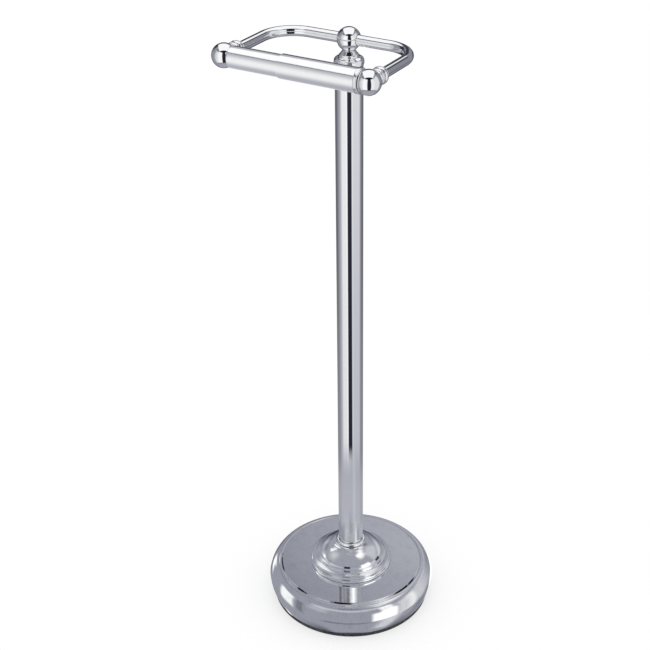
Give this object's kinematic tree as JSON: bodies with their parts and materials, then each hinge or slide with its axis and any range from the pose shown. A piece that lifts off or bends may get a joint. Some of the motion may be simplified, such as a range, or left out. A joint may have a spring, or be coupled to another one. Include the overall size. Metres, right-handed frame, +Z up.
{
  "type": "freestanding toilet paper holder",
  "caption": "Floor-standing toilet paper holder: weighted round base, straight post, bent arm between balls, and a sprung telescoping roller.",
  "frame": {"origin": "on the post's axis at the floor, at the middle of the rubber pad's underside", "axes": "+Z up along the post, +X along the roller towards its larger tube, -Y towards the roller's side"},
  "size_m": [0.173, 0.1866, 0.6191],
  "materials": {
    "chrome": "polished plating",
    "roller_metal": "satin",
    "plain_steel": "machined",
    "cast_iron": "raw casting",
    "rubber": "matt"
  },
  "bodies": {
    "stand": {"rubber_pad": "rubber", "base_shell": "chrome", "base_weight": "cast_iron", "base_washer": "plain_steel", "base_nut": "plain_steel", "tie_rod": "plain_steel", "base_flange": "chrome", "foot_collar": "chrome", "post_tube": "chrome", "lower_plug": "plain_steel", "upper_plug": "plain_steel", "top_cap": "chrome", "cap_stud": "plain_steel", "top_ball": "chrome", "arm_set_screw": "plain_steel", "arm_rod": "chrome", "end_ball_left": "chrome", "end_ball_right": "chrome", "ferrule_left": "chrome", "ferrule_right": "chrome"},
    "roller_outer": {"roller_outer_tube": "roller_metal", "roller_cap_right": "chrome", "roller_spring": "plain_steel"},
    "roller_inner": {"roller_inner_tube": "roller_metal", "roller_cap_left": "chrome"}
  },
  "joints": [
    {"name": "roller_spin", "type": "hinge", "parent": "stand", "child": "roller_outer", "pos_m": [0, -0.0893, 0.60823], "axis": [1, 0, 0], "continuous": true},
    {"name": "roller_squeeze", "type": "slide", "parent": "roller_outer", "child": "roller_inner", "axis": [1, 0, 0], "range_m": [0, 0.012], "stiffness_N_per_m": 250, "springref_m": -0.012, "deforming": ["roller_spring"]}
  ]
}
